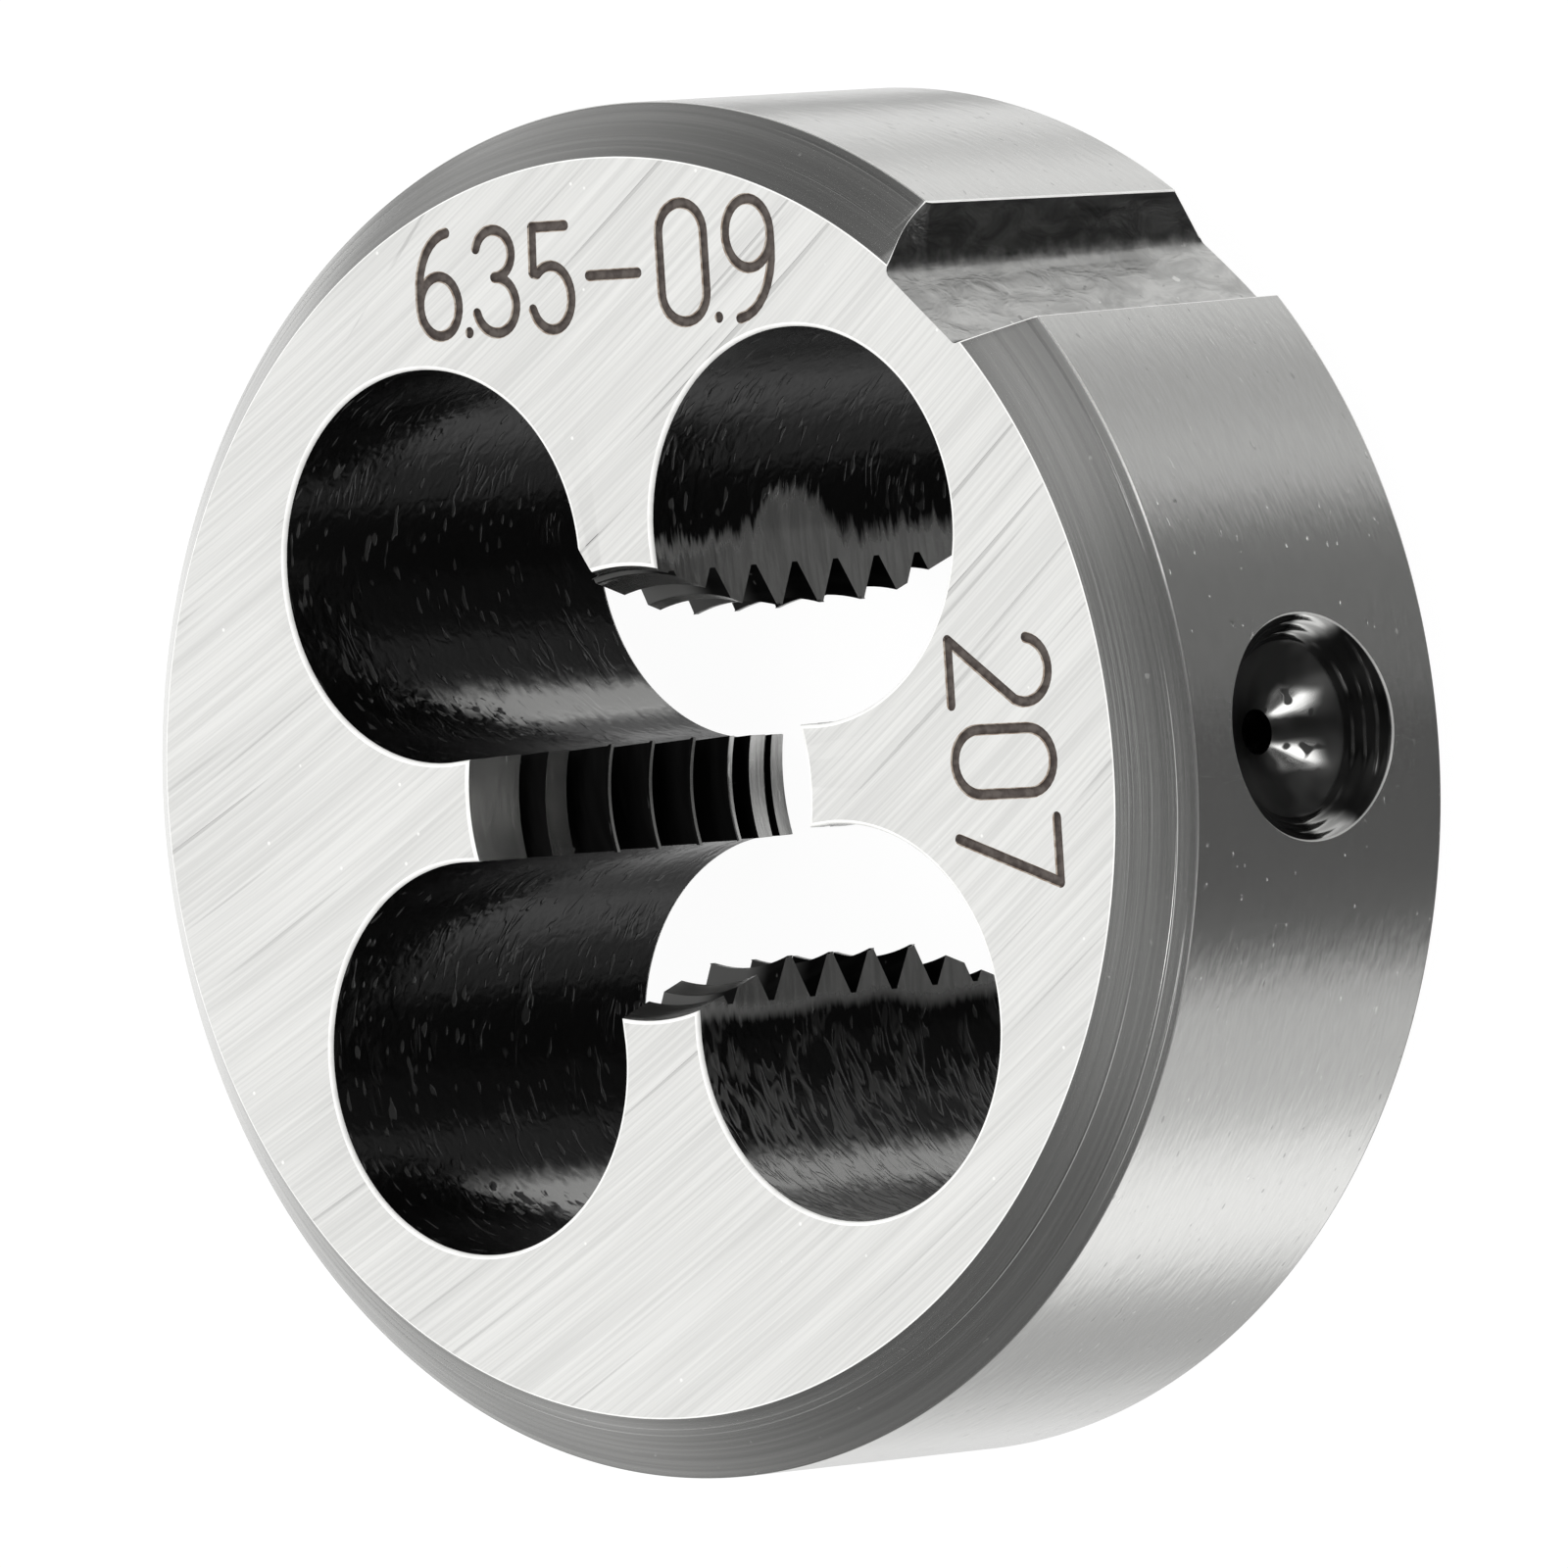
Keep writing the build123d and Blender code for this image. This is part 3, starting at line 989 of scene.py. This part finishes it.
# The finishes are the die's material slots, in this order
makers = {
    "groundFace": makeGroundFace, "turnedChamfer": makeTurnedChamfer, "groundRim": makeGroundRim,
    "turnedEdge": makeTurnedEdge, "brightEdge": makePaintedHighlightEdge, "blackFlute": makeBlackened,
    "groundLand": makeBlackened, "threadFlank": makeThreadFlank, "slotSteel": makeSlotSteel,
    "drilledSeat": makeDrilledSeat, "markedStroke": makeMarkedStroke, "markedEdge": makeMarkedEdge,
}
finishNames = list(makers)
finishes = [make(name) for name, make in makers.items()]
print("finishes made", len(finishes))

die = makeBody()
makeMarking(die)
print("marking cut", len(die.data.polygons))
cut(die, makeBore())
cut(die, makeThread())
print("thread cut", len(die.data.polygons))
for number in range(flute["count"]):
    cut(die, makeFlute(number))
print("flutes cut", len(die.data.polygons))
cut(die, makeSlot())
cut(die, makeSeat())
cut(die, makeNick())
print("slot and seat cut", len(die.data.polygons))
finishMesh(die)
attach(die, "root")
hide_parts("die")
print("die finished", len(die.data.polygons))

camera = {
    "place": (271.82, -4.00, 313.61), "right": (0.7477, -0.0955, -0.6572), "up": (0.0781, 0.9954, -0.0558),
    "lens": 649.6, "sensor": 36,
    # Limits of what it sees, in metres
    "nearest": 0.05, "furthest": 5,
}


def makeCamera(part=camera):
    right = Vector(part["right"]).normalized()
    back = right.cross(Vector(part["up"])).normalized()
    up = back.cross(right)
    data = bpy.data.cameras.new("camera")
    data.lens = part["lens"]
    data.sensor_width = part["sensor"]
    data.clip_start = part["nearest"]
    data.clip_end = part["furthest"]
    made = bpy.data.objects.new("camera", data)
    turn = Matrix((right, up, back)).transposed().to_4x4()
    made.matrix_world = Matrix.Translation(Vector(part["place"]) * millimetre) @ turn
    bpy.context.scene.collection.objects.link(made)
    bpy.context.scene.camera = made


studio = {
    "daylight": 0.85,
    # What bright metal mirrors: low, horizon and high bands of the room, each with its cards, and the zenith.
    # A card is its azimuth, half width and soft edge in degrees, and the light that it adds.
    "lowRoom": 0.09,
    "lowCards": [
        (180, 140.5, 10, 0.34),
        (180, 46, 24, 0.30),
        (180, 24, 24, 0.25),
        (-70, 29, 12, 0.12),
        (-86, 12, 18, 0.50),
        (24, 19, 5, 0.07),
        (48, 5, 8, 0.10),
        (88, 14, 12, 0.24),
        (114, 7, 10, 0.45),
        (140, 9, 8, 0.22),
        (153, 4, 8, -0.62),
        (-168, 6, 14, -0.16),
    ],
    "horizon": 0.22,
    "horizonCards": [
        (180, 60, 40, 0.14),
        (27, 6, 5, 5.0),
        (-27, 6, 5, 5.0),
    ],
    "highRoom": 0.13,
    "highCards": [
        (180, 38, 20, 0.95),
        (60, 22, 12, 0.25),
        (-47, 14, 16, 0.10),
    ],
    "zenith": 1.0,
    # Heights between which one band turns into the next, where -1 is straight down and 1 straight up
    "toHorizon": (-0.42, -0.18), "toHigh": (-0.10, 0.45), "toZenith": (0.84, 0.95),
    "lamps": [
        {"name": "keyLamp", "place": (-300, 260, 420), "size": 320, "power": 1.15},
        {"name": "fillLamp", "place": (180, -380, 360), "size": 300, "power": 0.42},
    ],
}


def cardLight(direction, azimuth, half, soft, level):
    # The card's level within its width as seen from the die, and 0 outside it
    towards = (cos(radians(azimuth)), sin(radians(azimuth)), 0)
    facing = direction.vector("DOT_PRODUCT", towards, "Value")
    return facing.above(cos(radians(half + soft / 2)), cos(radians(max(half - soft / 2, 0)))) * level


def makeWorld(part=studio):
    world = bpy.data.worlds.new("studio")
    world.use_nodes = True
    world.cycles.sampling_method = "NONE"
    bpy.context.scene.world = world
    tree = world.node_tree
    tree.nodes.clear()
    start = Wire(tree)
    direction = start.node("ShaderNodeTexCoord", output="Generated")
    height = direction.part("Z")
    level = direction.flat().vector("NORMALIZE")

    def band(room, cards):
        light = room
        for card in cards:
            light = light + cardLight(level, *card)
        return light

    mirrored = band(part["lowRoom"], part["lowCards"])
    horizon = band(part["horizon"], part["horizonCards"])
    high = band(part["highRoom"], part["highCards"])
    for limits, above in (("toHorizon", horizon), ("toHigh", high), ("toZenith", part["zenith"])):
        rise = height.above(*part[limits])
        mirrored = mirrored * (1 - rise) + above * rise
    # Gloss mirrors the bands, the camera sees white, and all else gets plain daylight
    gloss = start.node("ShaderNodeLightPath", output="Is Glossy Ray")
    seen = start.node("ShaderNodeLightPath", output="Is Camera Ray")
    light = gloss * mirrored + (1 - gloss) * part["daylight"]
    light = seen + (1 - seen) * light
    glow = start.node("ShaderNodeBackground", {}, {"Color": (1, 1, 1, 1), "Strength": light})
    glow.node("ShaderNodeOutputWorld", {}, {"Surface": glow})


def makeLamp(name, place, size, power):
    # Square lamp that faces the die and isn't mirrored in it
    data = bpy.data.lights.new(name, "AREA")
    data.size = size * millimetre
    data.energy = power
    lamp = bpy.data.objects.new(name, data)
    lamp.location = Vector(place) * millimetre
    lamp.rotation_euler = Vector(place).to_track_quat("Z", "Y").to_euler()
    lamp.visible_glossy = False
    lamp.visible_camera = False
    bpy.context.scene.collection.objects.link(lamp)


# The floor is a hair below the die. The camera sees mostly its glow, so that it is white, with a faint shadow.
# Its reach and height are in metres.
paleFloor = {"reach": 1.5, "height": -0.00001, "matte": 0.97, "glow": 1.06, "glowShare": 0.9}


def makeFloor(part=paleFloor):
    corners = [(-1, -1), (1, -1), (1, 1), (-1, 1)]
    points = [(x * part["reach"], y * part["reach"], part["height"]) for x, y in corners]
    mesh = bpy.data.meshes.new("floor")
    mesh.from_pydata(points, [], [(0, 1, 2, 3)])
    floor = bpy.data.objects.new("floor", mesh)
    bpy.context.scene.collection.objects.link(floor)
    material = bpy.data.materials.new("paleFloor")
    material.use_nodes = True
    tree = material.node_tree
    tree.nodes.clear()
    start = Wire(tree)
    matte = start.node("ShaderNodeBsdfDiffuse", {}, {"Color": colour(part["matte"], part["matte"], part["matte"])})
    white = start.node("ShaderNodeEmission", {}, {"Color": (1, 1, 1, 1), "Strength": part["glow"]})
    seen = start.node("ShaderNodeLightPath", output="Is Camera Ray")
    mixed = start.node("ShaderNodeMixShader", {}, {0: seen * part["glowShare"], 1: matte, 2: white})
    mixed.node("ShaderNodeOutputMaterial", {}, {"Surface": mixed})
    mesh.materials.append(material)
    floor.visible_glossy = False


makeCamera()
makeWorld()
for lamp in studio["lamps"]:
    makeLamp(**lamp)
makeFloor()
bpy.context.scene.view_settings.view_transform = "Standard"
print("camera, studio and floor made")
